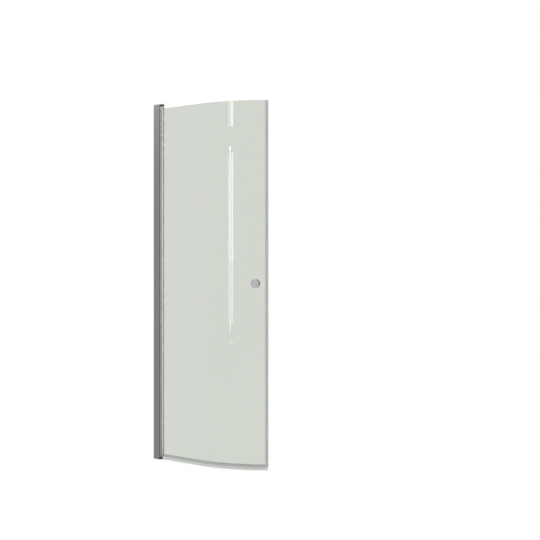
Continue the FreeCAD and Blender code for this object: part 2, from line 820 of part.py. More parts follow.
def glazing_gasket(label, side):
    """One of the two strips that wedge the glass in the hinge profile's slot."""
    body = new_body(label)
    plan = new_sketch(body, lift="leaf_bottom")
    near = f"{side} * glass_thickness / 2"
    far = f"{side} * {SLOT_HALF}"
    rim = f"{side} * ({SLOT_HALF} + 0.8 * arm_wall)"
    outline(
        plan,
        [
            (GLASS_START, near),
            (f"{ARM_END} + gasket_bead", near),
            (f"{ARM_END} + gasket_bead", far),
            (ARM_END, rim),
            (ARM_END, far),
            (GLASS_START, far),
        ],
    )
    pad(body, plan, f"{GLASS_TOP} - leaf_bottom")
    return body


def setting_blocks():
    """Small blocks that keep the pane's edge off the slot's bottom."""
    blocks = []
    spacing = f"({GLASS_MIDDLE} - leaf_bottom - setting_block_margin)"
    for step in (-1, 0, 1):
        box = doc.addObject("Part::Box", f"setting_block_{step + 2}")
        box.setExpression("Length", formula("glass_edge_gap"))
        box.setExpression("Width", formula("glass_thickness"))
        box.setExpression("Height", formula("setting_block_length"))
        height = f"{GLASS_MIDDLE} + {step} * {spacing} - setting_block_length / 2"
        set_place(box, SLOT_START, "-glass_thickness / 2", height)
        blocks.append(box)
    return group("setting_blocks", blocks)


def drip_seal_carrier():
    """The clear clip along the pane's lower edge."""
    body = new_body("drip_seal_carrier")
    plan = new_sketch(body, lift=CARRIER_BOTTOM)
    band(plan, SEAL_START, f"-{CARRIER_HALF}", CARRIER_HALF, CLIP_TURN)
    pad(body, plan, "carrier_height")
    slot = new_sketch(body, lift="leaf_bottom")
    gap_half = "(glass_thickness / 2 + seal_gap)"
    band(slot, "0", f"-{gap_half}", gap_half, "sweep_angle")
    cut_deep(body, slot, "carrier_height")
    return body


def drip_seal_lip():
    """The soft drip lip under the clip: an outer skirt and an inner fin."""
    body = new_body("drip_seal_lip")
    path = new_sketch(body, lift="lip_floor_gap")
    straight = line(path, (SEAL_START, "0"), (ARC_X, "0"))
    arc = corner_arc(path, "0", LIP_TURN)
    join_ends(path, [(straight, 2, arc, 1)])
    place_point(path, straight, 1, SEAL_START, "0")
    section = new_sketch(body, "YZ_Plane", SEAL_START)
    base = f"({CARRIER_BOTTOM} - lip_base)"
    knee = f"(lip_floor_gap + 0.4 * ({CARRIER_BOTTOM} - lip_floor_gap))"
    outline(
        section,
        [
            (f"-{CARRIER_HALF}", CARRIER_BOTTOM),
            (f"-{CARRIER_HALF}", knee),
            (f"-{CARRIER_HALF} + lip_thickness", "lip_floor_gap"),
            (f"-{CARRIER_HALF} + 2 * lip_thickness", "lip_floor_gap"),
            (f"-{CARRIER_HALF} + lip_thickness", knee),
            (f"-{CARRIER_HALF} + lip_thickness", base),
            (f"{CARRIER_HALF} - 3 * lip_thickness", base),
            (f"{CARRIER_HALF} - 1.2 * lip_thickness", knee),
            (f"{CARRIER_HALF} - 0.4 * lip_thickness", knee),
            (f"{CARRIER_HALF} - 2 * lip_thickness", base),
            (CARRIER_HALF, base),
            (CARRIER_HALF, CARRIER_BOTTOM),
        ],
    )
    sweep = body.newObject("PartDesign::AdditivePipe", "drip_seal_lip_sweep")
    sweep.Profile = section
    sweep.Spine = (path, [])
    return body


def edge_piece(label, bottom, height, left, right, half):
    """A straight upright strip on the pane's free edge, drawn along and across that edge."""
    body = new_body(label)
    plan = new_sketch(body, lift=bottom)
    rectangle(plan, left, right, f"-{half}", half)
    pad(body, plan, height)
    set_place(body, GLASS_END_X, GLASS_END_Y, "0", turn=GLASS_TURN)
    return body


def edge_seal_profile():
    """The clear strip that clips over the free edge, with a chamber for the magnet."""
    body = edge_piece(
        "edge_seal_profile",
        CARRIER_BOTTOM,
        f"{GLASS_TOP} - {CARRIER_BOTTOM}",
        "-clip_overlap",
        "chamber_depth",
        CLIP_HALF,
    )
    slot_half = "(glass_thickness / 2 + clip_gap)"
    slot = new_sketch(body)
    rectangle(slot, "-2 * clip_overlap", "clip_gap", f"-{slot_half}", slot_half)
    cut_through(body, slot)
    chamber = new_sketch(body)
    rectangle(chamber, CHAMBER_START, CHAMBER_END, f"-{CHAMBER_HALF}", CHAMBER_HALF)
    cut_through(body, chamber)
    return body


def magnet_strip():
    return edge_piece(
        "magnet_strip",
        f"{CARRIER_BOTTOM} + plug_length",
        f"{GLASS_TOP} - {CARRIER_BOTTOM} - 2 * plug_length",
        f"{CHAMBER_START} + magnet_gap",
        f"{CHAMBER_END} - magnet_gap",
        f"({CHAMBER_HALF} - magnet_gap)",
    )


def edge_seal_plugs():
    """Small plugs that close the magnet's chamber at both ends."""
    plugs = []
    for name, bottom in (("lower", CARRIER_BOTTOM), ("upper", f"{GLASS_TOP} - plug_length")):
        plug = edge_piece(
            f"edge_seal_plug_{name}",
            bottom,
            "plug_length",
            f"{CHAMBER_START} + fit_gap",
            f"{CHAMBER_END} - fit_gap",
            f"({CHAMBER_HALF} - fit_gap)",
        )
        plugs.append(plug)
    return group("edge_seal_plugs", plugs)


def at_knob(item, angle=0):
    """Put a piece on the knob's axis; its own Y axis points into the shower there."""
    turn = f"{KNOB_TURN} + {angle}"
    set_place(item, KNOB_X, KNOB_Y, "knob_height", turn=turn)


def knob(label, angle):
    """A turned knob: a waist at the glass and a wide round head, drawn on the outer side."""
    body = new_body(label)
    section = new_sketch(body)
    bore = "(stud_diameter / 2 + fit_gap)"
    bore_end = f"-({KNOB_SEAT} + stud_grip + 2 * fit_gap)"
    outline(
        section,
        [
            (bore, f"-{KNOB_SEAT}"),
            ("knob_waist / 2", f"-{KNOB_SEAT}"),
            ("knob_waist / 2", f"-{KNOB_BACK}"),
            ("knob_diameter / 2", f"-{KNOB_BACK}"),
            ("knob_diameter / 2", f"-{KNOB_FACE}"),
            ("0", f"-{KNOB_FACE}"),
            ("0", bore_end),
            (bore, bore_end),
        ],
    )
    turn_round(body, section, "V_Axis")
    rim = value("knob_diameter") / 2
    round_edges(
        body,
        "knob_round",
        lambda edge: edge.Curve.TypeId == "Part::GeomCircle" and abs(edge.Curve.Radius - rim) < 0.01,
    )
    grub_hole = new_sketch(body)
    circle(grub_hole, "0", f"-({KNOB_SEAT} + {KNOB_BACK}) / 2", "grub_diameter + 2 * fit_gap")
    cut_deep(body, grub_hole, "knob_waist", forward=False)
    at_knob(body, angle)
    return body


def knob_stud():
    body = new_body("knob_stud")
    section = new_sketch(body, "XZ_Plane", f"-({KNOB_SEAT} + stud_grip)")
    circle(section, "0", "0", "stud_diameter")
    pad(body, section, f"2 * ({KNOB_SEAT} + stud_grip)")
    round_edges(body, "0.08 * stud_diameter", lambda edge: True, "Chamfer")
    at_knob(body)
    return body


def cross_ring(label, start, thickness, outer, inner, angle=0):
    """A ring on the knob's axis."""
    body = new_body(label)
    section = new_sketch(body, "XZ_Plane", start)
    circle(section, "0", "0", outer)
    circle(section, "0", "0", inner)
    pad(body, section, thickness)
    at_knob(body, angle)
    return body


def knob_sleeve():
    """The plastic sleeve in the pane's hole."""
    return cross_ring(
        "knob_sleeve",
        "-glass_thickness / 2",
        "glass_thickness",
        "stud_diameter + 2 * sleeve_wall",
        "stud_diameter + 2 * fit_gap",
    )


def knob_pads():
    """Clear soft discs between the knobs and the glass."""
    discs = [
        cross_ring(
            f"knob_pad_{name}",
            "glass_thickness / 2 + pad_gap",
            "pad_thickness",
            "pad_diameter",
            "stud_diameter + 2 * fit_gap",
            angle,
        )
        for name, angle in (("outer", 0), ("inner", 180))
    ]
    return group("knob_pads", discs)


def knob_grub_screws():
    """Socket set screws that hold the knobs on the stud, from below."""
    screws = []
    for name, side in (("outer", -1), ("inner", 1)):
        body = new_body(f"knob_grub_screw_{name}")
        top = "-(stud_diameter / 2 + fit_gap)"
        along = f"{side} * ({KNOB_SEAT} + {KNOB_BACK}) / 2"
        plan = new_sketch(body, lift=top)
        circle(plan, "0", along, "grub_diameter")
        pad(body, plan, "grub_length", reversed_way=True)
        socket = new_sketch(body, lift=f"{top} - grub_length")
        circle(socket, "0", along, "0.5 * grub_diameter")
        cut_deep(body, socket, "0.4 * grub_length")
        at_knob(body)
        screws.append(body)
    return group("knob_grub_screws", screws)


def leaf_pieces():
    bore = "pin_diameter + 2 * running_gap"
    bottom_screw = "bottom_cap_plate + cap_screw_length"
    return [
        hinge_profile(),
        ring("upper_hinge_bush", "bush_diameter", bore, f"{LEAF_TOP} - bush_length", "bush_length"),
        ring("lower_hinge_bush", "bush_diameter", bore, "leaf_bottom", "bush_length"),
        hinge_top_cap(),
        cap_screws("hinge_top_cap_screws", HINGE_CAP_TOP, "hinge_cap_height + cap_screw_length", 0),
        hinge_bottom_cap(),
        cap_screws("hinge_bottom_cap_screws", CAP_PLATE_BOTTOM, bottom_screw, 180),
        curved_glass(),
        glazing_gasket("outer_glazing_gasket", -1),
        glazing_gasket("inner_glazing_gasket", 1),
        setting_blocks(),
        drip_seal_carrier(),
        drip_seal_lip(),
        edge_seal_profile(),
        magnet_strip(),
        edge_seal_plugs(),
        knob("outer_knob", 0),
        knob("inner_knob", 180),
        knob_stud(),
        knob_sleeve(),
        knob_pads(),
        knob_grub_screws(),
    ]


pieces = fixed_pieces() + leaf_pieces()
doc.recompute()

for item in doc.Objects:
    if "Invalid" in item.State or "Error" in item.State:
        raise RuntimeError(f"{item.Label} did not compute")
for piece in pieces:
    if piece.Shape.isNull() or not piece.Shape.isValid():
        raise RuntimeError(f"{piece.Label} has no valid shape")

os.makedirs("parts", exist_ok=True)
for piece in pieces:
    piece.Shape.exportStep(f"parts/{piece.Label}.step")
    box = piece.Shape.BoundBox
    print(
        f"{piece.Label:26s} solids {len(piece.Shape.Solids)}  volume {piece.Shape.Volume:12.1f}"
        f"  x {box.XMin:8.2f} {box.XMax:8.2f}  y {box.YMin:8.2f} {box.YMax:8.2f}"
        f"  z {box.ZMin:8.2f} {box.ZMax:8.2f}"
    )
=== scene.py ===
import json
import math

import bmesh
import bpy
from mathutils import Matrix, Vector


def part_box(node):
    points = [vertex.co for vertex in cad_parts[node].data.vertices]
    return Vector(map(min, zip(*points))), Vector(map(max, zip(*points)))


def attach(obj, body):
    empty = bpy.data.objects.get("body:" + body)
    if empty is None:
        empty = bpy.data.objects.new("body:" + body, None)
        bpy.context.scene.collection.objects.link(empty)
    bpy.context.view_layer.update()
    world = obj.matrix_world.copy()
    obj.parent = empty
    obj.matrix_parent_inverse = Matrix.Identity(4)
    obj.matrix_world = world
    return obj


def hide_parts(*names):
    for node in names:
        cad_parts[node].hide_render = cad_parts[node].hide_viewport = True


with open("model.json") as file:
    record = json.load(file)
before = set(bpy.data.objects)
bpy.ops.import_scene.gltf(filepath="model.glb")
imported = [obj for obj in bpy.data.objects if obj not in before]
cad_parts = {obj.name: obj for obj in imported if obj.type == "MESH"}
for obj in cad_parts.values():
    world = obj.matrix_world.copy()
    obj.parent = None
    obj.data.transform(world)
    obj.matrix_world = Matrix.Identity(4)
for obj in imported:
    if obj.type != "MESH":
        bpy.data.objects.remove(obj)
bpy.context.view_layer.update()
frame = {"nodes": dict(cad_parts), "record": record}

# A curved pivot shower door on its wall profile. Metres and radians. The hinge axis is Z, the
# wall is at -X, the glass runs out along +X and then round the corner's arc into the shower, +Y.

# The leaf's plan.
ARC_START = 0.323
ARC_RADIUS = 0.525
CORNER_TURN = math.radians(45)
GLASS_HALF = 0.003
# Faces of the pane that lean further than this towards its top or bottom are its ground edge.
EDGE_SLOPE = 0.3

# Round hinge profile, its glazing arms and the jamb's cove around it.
HINGE_RADIUS = 0.0125
COVE_RADIUS = 0.0131
ARM_HALF = 0.0052
SLOT_HALF = 0.0038
SLOT_START = 0.0075
BORE_RADIUS = 0.00605
PIN_HOLE_RADIUS = 0.0043
CAP_SCREW_PLACES = [(-0.005306, -0.007577), (-0.005306, 0.007577)]
CAP_SCREW_PORT = 0.0013
CAP_SCREW_HEAD = 0.0024
BOTTOM_CAP_PLATE = 0.002
NOSE_START = 0.008

# Jamb.
JAMB_WALL = 0.0018
JAMB_WEB_X = -0.018
JAMB_SCREW_PLACES = [(-0.014, -0.0092), (-0.014, 0.0092)]
JAMB_SCREW_PORT = 0.0017
JAMB_SCREW_HEAD = 0.0034
JAMB_SCREW_SHANK = 0.0014
SEAL_GROOVE_HALF = 0.0013
SEAL_GROOVE_WALL = 0.0016
BOSS_RADIUS = 0.007
FOOT_TONGUE_START = -0.03
SCREW_RECESS_LENGTH = 0.0019
SCREW_RECESS_WIDTH = 0.00045
SCREW_RECESS_DEPTH = 0.0014
SCREW_CAP_RIM = 0.0008

# Knobs.
KNOB_SETBACK = 0.0705
KNOB_TURN = CORNER_TURN - KNOB_SETBACK / ARC_RADIUS
KNOB_HEIGHT = 0.997
KNOB_RADIUS = 0.023
KNOB_WAIST = 0.011
KNOB_SEAT = 0.0042
KNOB_BACK = 0.017
KNOB_FACE = 0.028
KNOB_ROUND = 0.0025
KNOB_DISH = 0.0004
KNOB_LAND = 0.0015
KNOB_SEAT_CHAMFER = 0.0004
KNOB_NECK_FLARE = 0.0008
KNOB_HOLE_RADIUS = 0.006

# Seals.
CARRIER_WALL = 0.0015
LIP_THICKNESS = 0.0013
LIP_BASE = 0.0012
LIP_SWAY = 0.0014
FIN_START = 0.0009
FIN_SHORTER = 0.0066
FIN_SWAY = 0.0024
EDGE_CLIP_GAP = 0.00025
EDGE_CLIP_WALL = 0.00135
EDGE_LEGS = 0.0085
EDGE_CHAMBER = 0.0086
EDGE_WALL = 0.0011

# Modelling: how far a cutting tool runs past a piece, how far one shape sinks into another, how
# much larger a bore is than what sits in it, and how near two corners count as in one place.
OVERRUN = 0.01
SINK = 0.001
LOOSE = 0.00005
NEAR = 0.00001

# Camera and lights.
CAMERA_PLACE = Vector((5.4223, -4.5623, 1.114))
CAMERA_TURN = math.radians(45)
CAMERA_LENS = 83.52
CAMERA_SHIFT = -0.0157
SKY_FILL = 0.75
FLOOR_SHADOW = 0.12
# The strips by the hinge profile: turn from +X in degrees, width and brightness.
HINGE_STRIP_REACH = 0.25
HINGE_STRIP_HEIGHT = 2.1
HINGE_STRIPS = [
    ("highlight_strip", -10, 0.2, 4.3),
    ("outside_strip", -140, 0.15, 1.2),
    ("inside_strip", 40, 0.15, 5.0),
]
STREAK_REACH = 3.0
# The lamps that the glass mirrors as a streak: from and to a turn of its arc in degrees, from
# and to a height on the glass, and brightness.
STREAKS = [
    ("streak_top_wide", 20.8, 23.9, 1.835, 2.2, 2.6),
    ("streak_top", 22.7, 24.0, 1.835, 2.2, 4.7),
    ("streak_wide", 20.7, 24.1, 1.115, 1.69, 2.7),
    ("streak_left_tip", 21.9, 22.6, 1.69, 1.737, 9.0),
    ("streak_left", 21.8, 22.5, 1.115, 1.69, 3.8),
    ("streak_right", 23.25, 24.05, 1.115, 1.705, 3.8),
    ("streak_low_wide", 20.7, 24.1, 0.788, 1.115, 1.8),
    ("streak_low_left", 21.8, 22.5, 0.788, 1.115, 2.2),
    ("streak_low_right", 23.25, 24.05, 0.788, 1.115, 2.0),
    ("streak_low_tip", 21.9, 22.6, 0.738, 0.788, 5.5),
    ("streak_spot", 21.4, 23.8, 0.674, 0.688, 2.3),
]
WHITE = (1, 1, 1, 1)

slots = {part["node"]: part["material_slot"] for part in frame["record"]["subparts"]}
bodies = {
    node: body for body, nodes in frame["record"]["behaviour"]["bodies"].items() for node in nodes
}


# Shader building.


class Signal:
    """A value that varies over a surface or from ray to ray. Sums and products add Math nodes."""

    def __init__(self, tree, socket):
        self.tree = tree
        self.socket = socket

    def _with(self, operation, first, second):
        return self.tree.node("Math", {"operation": operation}, {0: first, 1: second})

    def __add__(self, other):
        return self._with("ADD", self, other)

    def __sub__(self, other):
        return self._with("SUBTRACT", self, other)

    def __rsub__(self, other):
        return self._with("SUBTRACT", other, self)

    def __mul__(self, other):
        return self._with("MULTIPLY", self, other)

    __radd__ = __add__
    __rmul__ = __mul__


class Tree:
    """The nodes of a material or of the world."""

    def __init__(self, owner):
        owner.use_nodes = True
        self.nodes = owner.node_tree.nodes
        self.links = owner.node_tree.links

    def node(self, kind, settings=None, inputs=None, output=0):
        """Add a node: its settings first, then the value or link of each socket."""
        made = self.nodes.new(f"ShaderNode{kind}")
        for name, setting in (settings or {}).items():
            setattr(made, name, setting)
        for socket, source in (inputs or {}).items():
            self.feed(made.inputs[socket], source)
        return Signal(self, made.outputs[output])

    def feed(self, socket, source):
        if isinstance(source, Signal):
            self.links.new(source.socket, socket)
        else:
            socket.default_value = source

    def seen(self):
        """1 for a ray that the camera sees straight, mirrored or through glass, else 0."""
        total = self.node("LightPath", output="Is Camera Ray")
        for name in ("Is Glossy Ray", "Is Transmission Ray"):
            ray = self.node("LightPath", output=name)
            total = self.node("Math", {"operation": "MAXIMUM"}, {0: total, 1: ray})
        return total


class Finish(Tree):
    """One material around a Principled shader."""

    def __init__(self, name, **constants):
        self.material = bpy.data.materials.new(name)
        super().__init__(self.material)
        self.shader = self.nodes["Principled BSDF"]
        for socket, amount in constants.items():
            self.set(socket.replace("_", " "), amount)

    def set(self, socket, source):
        self.feed(self.shader.inputs[socket], source)

    def place(self, stretch=(1, 1, 1), centre=(0, 0, 0)):
        """The piece's own coordinates, centred on a point and stretched along its axes."""
        where = self.node("TexCoord", output="Object")
        where = self.node("VectorMath", {"operation": "SUBTRACT"}, {0: where, 1: centre})
        return self.node("VectorMath", {"operation": "MULTIPLY"}, {0: where, 1: stretch})

    def grain(self, scale, detail=2.0, stretch=(1, 1, 1)):
        where = self.place(stretch)
        return self.node("TexNoise", None, {"Vector": where, "Scale": scale, "Detail": detail})

    def tone(self, dark, light, amount):
        """A colour between two others."""
        return self.node("Mix", {"data_type": "RGBA"}, {6: dark, 7: light, 0: amount}, output=2)

    def relief(self, height, depth, strength=1.0):
        bump = self.node("Bump", None, {"Height": height, "Distance": depth, "Strength": strength})
        self.set("Normal", bump)


def grey(level, warmth=0.0):
    """A linear grey, a little warmer or cooler."""
    return (level * (1 + warmth), level, level * (1 - warmth), 1)


def drawn_metal(name, level, roughness, lines):
    """Aluminium drawn through a die: fine upright lines and a slow cloudiness."""
    finish = Finish(name, Metallic=1.0)
    upright = finish.grain(2600, 3, (1, 1, 0.002))
    cloud = finish.grain(9, 2, (1, 1, 0.35))
    mixed = upright * 0.7 + cloud * 0.3
    finish.set("Base Color", finish.tone(grey(level * 0.93, 0.02), grey(level * 1.07, 0.02), mixed))
    finish.set("Roughness", roughness - lines / 2 + mixed * lines)
    finish.relief(upright, 0.00001, 0.35)
    return finish.material


def cast_metal(name, level, roughness):
    """Satin paint over a cast part: a fine orange peel."""
    finish = Finish(name, Metallic=0.75)
    peel = finish.grain(900, 3)
    speck = finish.grain(4000, 1)
    finish.set("Base Color", finish.tone(grey(level * 0.9, 0.01), grey(level * 1.1, 0.01), peel))
    finish.set("Roughness", roughness + speck * 0.12)
    finish.relief(peel, 0.00004, 0.5)
    return finish.material


def bright_steel(name, level):
    """Machined stainless steel with fine random scratches."""
    finish = Finish(name, Metallic=1.0)
    scratch = finish.grain(1800, 4, (1, 0.12, 1))
    finish.set("Base Color", finish.tone(grey(level * 0.85), grey(level * 1.1), scratch))
    finish.set("Roughness", 0.22 + scratch * 0.16)
    finish.relief(scratch, 0.00002, 0.4)
    return finish.material


def turned_metal(name, level, centre, turn):
    """Satin metal with the fine rings of a lathe about a level axis."""
    finish = Finish(name, Metallic=1.0)
    where = finish.place(centre=centre)
    along = Vector((math.sin(turn), -math.cos(turn), 0))
    depth = finish.node("VectorMath", {"operation": "DOT_PRODUCT"}, {0: where, 1: along}, "Value")
    reach = finish.node("VectorMath", {"operation": "LENGTH"}, {0: where}, "Value")
    squared = reach * reach - depth * depth
    radius = finish.node("Math", {"operation": "SQRT"}, {0: squared})
    lathe = {"W": radius, "Scale": 5200, "Detail": 3}
    rings = finish.node("TexNoise", {"noise_dimensions": "1D"}, lathe)
    cloud = finish.grain(60, 2)
    finish.set("Base Color", finish.tone(grey(level * 0.92, 0.004), grey(level * 1.08), rings))
    finish.set("Roughness", 0.3 + rings * 0.12 + cloud * 0.06)
    finish.relief(rings, 0.00002, 0.35)
    return finish.material


def moulded(name, dark, light, roughness):
    """Moulded plastic: a fine spark-eroded texture and a slow change of gloss."""
    finish = Finish(name)
    erosion = finish.grain(2400, 2)
    flow = finish.grain(45, 2)
    finish.set("Base Color", finish.tone(dark, light, flow))
    finish.set("Roughness", roughness - 0.06 + erosion * 0.12)
    finish.relief(erosion, 0.00003, 0.6)
    return finish.material


def clear_glass():
    """Toughened float glass: a faint green that varies slowly, and a trace of film on it."""
    finish = Finish("clear_glass", IOR=1.5, Transmission_Weight=1.0)
    wave = finish.grain(1.6, 1, (1, 1, 0.4))
    film = finish.grain(14, 3, (1, 1, 0.5))
    finish.set("Base Color", finish.tone((0.625, 0.656, 0.596, 1), (0.637, 0.666, 0.608, 1), wave))
    finish.set("Roughness", film * 0.004)
    return finish.material


def ground_edge():
    """The pane's ground and seamed edges: greener than its faces, and matt."""
    finish = Finish("ground_edge", IOR=1.5, Transmission_Weight=0.5)
    grit = finish.grain(3000, 2)
    finish.set("Base Color", finish.tone((0.24, 0.38, 0.3, 1), (0.32, 0.46, 0.38, 1), grit))
    finish.set("Roughness", 0.3 + grit * 0.2)
    return finish.material


def clear_vinyl(name, dark, light, through, roughness):
    """Extruded clear vinyl, a little milky, with die lines along it."""
    finish = Finish(name, IOR=1.45, Transmission_Weight=through)
    lines = finish.grain(1400, 2, (1, 1, 0.01))
    cloud = finish.grain(30, 2)
    finish.set("Base Color", finish.tone(dark, light, lines * 0.5 + cloud * 0.5))
    finish.set("Roughness", roughness + cloud * 0.1)
    finish.relief(lines, 0.00002, 0.4)
    return finish.material


knob_centre = (
    ARC_START + ARC_RADIUS * math.sin(KNOB_TURN),
    ARC_RADIUS * (1 - math.cos(KNOB_TURN)),
    KNOB_HEIGHT,
)
finishes = {
    "satin_aluminium": drawn_metal("satin_aluminium", level=0.22, roughness=0.34, lines=0.08),
    "mill_aluminium": drawn_metal("mill_aluminium", level=0.42, roughness=0.38, lines=0.16),
    "cap_metal": cast_metal("cap_metal", level=0.3, roughness=0.42),
    "steel": bright_steel("steel", level=0.5),
    "satin_knob": turned_metal("satin_knob", 0.48, knob_centre, KNOB_TURN),
    "black_plastic": moulded("black_plastic", grey(0.018), grey(0.024), roughness=0.5),
    "foot_plastic": moulded("foot_plastic", grey(0.06), grey(0.075), roughness=0.45),
    "pale_plastic": moulded(
        "pale_plastic", (0.48, 0.48, 0.52, 1), (0.53, 0.53, 0.57, 1), roughness=0.4
    ),
    "bearing_plastic": moulded("bearing_plastic", grey(0.74), grey(0.8), roughness=0.35),
    "clear_glass": clear_glass(),
    "clear_vinyl": clear_vinyl(
        "clear_vinyl", (0.80, 0.83, 0.79, 1), (0.87, 0.90, 0.86, 1), through=0.5, roughness=0.12
    ),
    "milky_vinyl": clear_vinyl(
        "milky_vinyl", (0.67, 0.70, 0.66, 1), (0.74, 0.77, 0.73, 1), through=0.4, roughness=0.16
    ),
    "soft_vinyl": clear_vinyl(
        "soft_vinyl", (0.84, 0.86, 0.825, 1), (0.9, 0.92, 0.885, 1), through=0.25, roughness=0.32
    ),
    "grey_seal": clear_vinyl(
        "grey_seal", grey(0.38, 0.01), grey(0.44, 0.01), through=0.3, roughness=0.35
    ),
    "magnet_rubber": moulded(
        "magnet_rubber", grey(0.56, 0.01), grey(0.62, 0.01), roughness=0.5
    ),
}
for node, cad_piece in frame["nodes"].items():
    for i in range(len(cad_piece.data.materials)):
        cad_piece.data.materials[i] = finishes[slots[node]]


# Modelling steps.


def choose(piece):
    """Make one piece the only selected and the active one."""
    bpy.ops.object.select_all(action="DESELECT")
    bpy.context.view_layer.objects.active = piece
    piece.select_set(True)


def settle(piece):
    """Put the piece's place, turn and scale into its mesh."""
    choose(piece)
    bpy.ops.object.transform_apply(location=True, rotation=True, scale=True)
    return piece


def added(name):
    piece = bpy.context.object
    piece.name = name
    return piece


def block(name, low, high):
    """A block between two corners."""
    bpy.ops.object.select_all(action="DESELECT")
    middle = [(first + last) / 2 for first, last in zip(low, high)]
    bpy.ops.mesh.primitive_cube_add(size=1, location=middle)
    piece = added(name)
    piece.scale = [last - first for first, last in zip(low, high)]
    return settle(piece)


def rod(name, radius, low, high, place=(0, 0), steps=96):
    """An upright rod between two heights."""
    bpy.ops.object.select_all(action="DESELECT")
    bpy.ops.mesh.primitive_cylinder_add(
        vertices=steps, radius=radius, depth=high - low, location=(*place, (low + high) / 2)
    )
    return settle(added(name))


def turned(name, rings, steps=96):
    """A piece turned about the Z axis: a disc extruded and scaled from ring to ring."""
    bpy.ops.object.select_all(action="DESELECT")
    radius, height = rings[0]
    bpy.ops.mesh.primitive_circle_add(
        vertices=steps, radius=radius, fill_type="NGON", location=(0, 0, height)
    )
    piece = settle(added(name))
    bpy.ops.object.mode_set(mode="EDIT")
    bpy.ops.mesh.select_all(action="SELECT")
    for (radius, height), (next_radius, next_height) in zip(rings, rings[1:]):
        bpy.ops.mesh.extrude_region_move(
            TRANSFORM_OT_translate={"value": (0, 0, next_height - height)}
        )
        ratio = next_radius / radius
        bpy.ops.transform.resize(value=(ratio, ratio, 1), center_override=(0, 0, next_height))
    close_up()
    return piece


def close_up():
    """Merge doubles, point the faces outwards and leave edit mode."""
    bpy.ops.mesh.select_all(action="SELECT")
    bpy.ops.mesh.remove_doubles(threshold=0.000001)
    bpy.ops.mesh.normals_make_consistent(inside=False)
    bpy.ops.object.mode_set(mode="OBJECT")


def pick_edges(piece, test):
    """In edit mode, select the edges whose two ends pass a test."""
    bpy.ops.mesh.select_all(action="DESELECT")
    bpy.ops.mesh.select_mode(type="EDGE")
    shape = bmesh.from_edit_mesh(piece.data)
    for edge in shape.edges:
        edge.select_set(all(test(end.co) for end in edge.verts))
    bmesh.update_edit_mesh(piece.data)


def round_end(piece, x, radius, steps=24):
    """Round a block's two upright edges at x to a radius."""
    choose(piece)
    bpy.ops.object.mode_set(mode="EDIT")
    bpy.ops.mesh.select_mode(type="EDGE")
    bpy.ops.mesh.select_all(action="DESELECT")
    shape = bmesh.from_edit_mesh(piece.data)
    for edge in shape.edges:
        first, last = (end.co for end in edge.verts)
        at_end = abs(first.x - x) < NEAR and abs(last.x - x) < NEAR
        edge.select_set(at_end and abs(first.z - last.z) > NEAR)
    bmesh.update_edit_mesh(piece.data)
    bpy.ops.mesh.bevel(offset=radius, segments=steps, affect="EDGES")
    close_up()
    return piece


def change(piece, kind, **settings):
    """Apply one modifier."""
    choose(piece)
    modifier = piece.modifiers.new(kind.lower(), kind)
    for name, setting in settings.items():
        setattr(modifier, name, setting)
    bpy.ops.object.modifier_apply(modifier=modifier.name)


def cut(piece, *tools):
    for tool in tools:
        change(piece, "BOOLEAN", operation="DIFFERENCE", solver="EXACT", object=tool)
        bpy.data.objects.remove(tool)


def join(piece, *others):
    for other in others:
        change(piece, "BOOLEAN", operation="UNION", solver="EXACT", object=other)
        bpy.data.objects.remove(other)
    return piece


def soften(piece, width, steps=3, sharper=40):
    """Round the sharp edges, then shade the piece smooth with its flat faces kept flat."""
    change(
        piece,
        "BEVEL",
        width=width,
        segments=steps,
        limit_method="ANGLE",
        angle_limit=math.radians(sharper),
        use_clamp_overlap=True,
    )
    choose(piece)
    bpy.ops.object.shade_smooth_by_angle(angle=math.radians(sharper))
    change(piece, "WEIGHTED_NORMAL", keep_sharp=True, weight=90)


def stand_for(piece, node):
    """The piece takes a node's place, body and finish."""
    piece.data.materials.clear()
    piece.data.materials.append(finishes[slots[node]])
    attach(piece, bodies[node])
    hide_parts(node)


def countersinks(places, head, face):
    """Cones that the screws' flat heads leave in a plate, widest at its face."""
    tip = 0.001
    mouth = head + LOOSE
    tools = []
    for x, y in places:
        tool = turned("countersink", [(mouth, face), (tip, face - mouth + tip)], 48)
        tool.location = (x, y, 0)
        tools.append(settle(tool))
    return tools


# Pieces that run along the glass.


def section(name, start, left, right, low, high):
    """An upright rectangle across the leaf, at a distance out from the hinge."""
    bpy.ops.object.select_all(action="DESELECT")
    bpy.ops.mesh.primitive_plane_add(
        size=1,
        location=(start, (left + right) / 2, (low + high) / 2),
        rotation=(0, math.radians(90), 0),
    )
    piece = added(name)
    piece.scale = (high - low, right - left, 1)
    return settle(piece)


def follow_glass(piece, start, turn):
    """Run a flat section straight to the arc's start and then round it by an angle."""
    choose(piece)
    bpy.ops.object.mode_set(mode="EDIT")
    bpy.ops.mesh.select_mode(type="FACE")
    bpy.ops.mesh.select_all(action="SELECT")
    bpy.ops.mesh.extrude_region_move(TRANSFORM_OT_translate={"value": (ARC_START - start, 0, 0)})
    bpy.ops.mesh.spin(
        steps=math.ceil(math.degrees(turn)),
        angle=turn,
        center=(ARC_START, ARC_RADIUS, 0),
        axis=(0, 0, -1),
    )
    close_up()


def end_turn(node, offset):
    """How far round the arc a node reaches, from the highest Y of its inner face."""
    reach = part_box(node)[1].y
    return math.acos((ARC_RADIUS - reach) / (ARC_RADIUS - offset))


